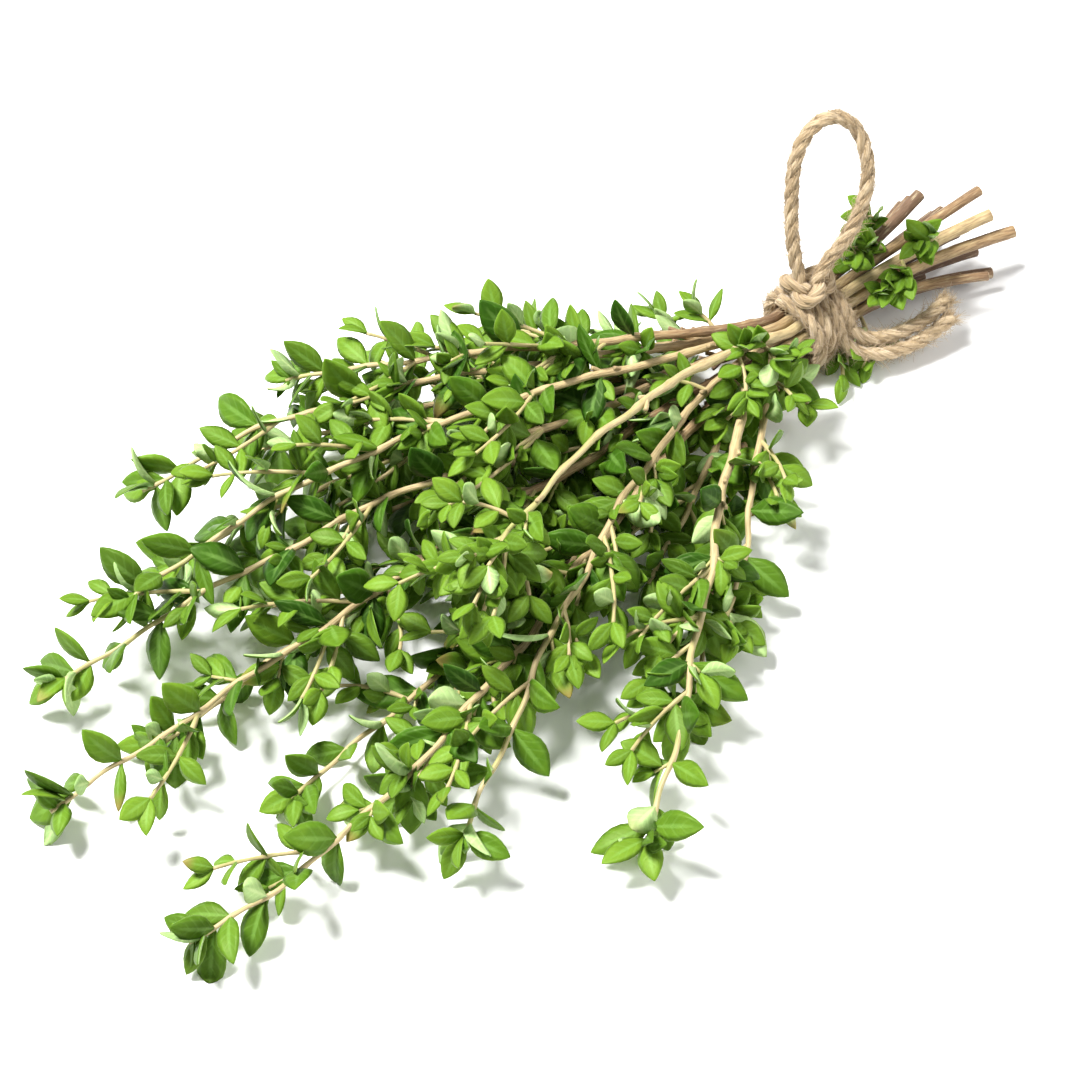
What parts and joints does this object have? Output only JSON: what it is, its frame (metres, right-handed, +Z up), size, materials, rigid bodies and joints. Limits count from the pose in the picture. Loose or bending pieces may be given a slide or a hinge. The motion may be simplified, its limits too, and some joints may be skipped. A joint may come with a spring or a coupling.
{
  "type": "thyme bundle",
  "caption": "Bunch of fresh thyme lying on its side: long leafy sprigs fan out from a jute twine tie with an open loop, and the bare cut stems stand out past it.",
  "frame": {"origin": "middle of the bundle's box, on the surface it lies on, the twine's loop and tails left out", "axes": "+Z up; +X along the bundle, from the leafy tips towards the cut ends; +Y sideways"},
  "size_m": [0.1942, 0.1104, 0.0411],
  "materials": {
    "leaf": "matt, finely hairy leaf with a paler underside",
    "stem": "dull bark at the cut end, pale green and downy towards the tip",
    "twine": "dry, hairy three-strand jute"
  },
  "bodies": {
    "root": {"sprig_01": "leaf", "sprig_02": "leaf", "sprig_03": "leaf", "sprig_04": "leaf", "sprig_05": "leaf", "sprig_06": "leaf", "sprig_07": "leaf", "sprig_08": "leaf", "sprig_09": "leaf", "sprig_10": "leaf", "sprig_11": "leaf", "sprig_12": "leaf", "sprig_13": "leaf", "sprig_14": "leaf", "sprig_15": "leaf", "sprig_16": "leaf", "sprig_17": "leaf", "sprig_18": "leaf", "sprig_19": "leaf", "twine_wraps": "twine", "twine_knot": "twine", "twine_loop": "twine", "twine_tail_a": "twine", "twine_tail_b": "twine"}
  },
  "joints": []
}
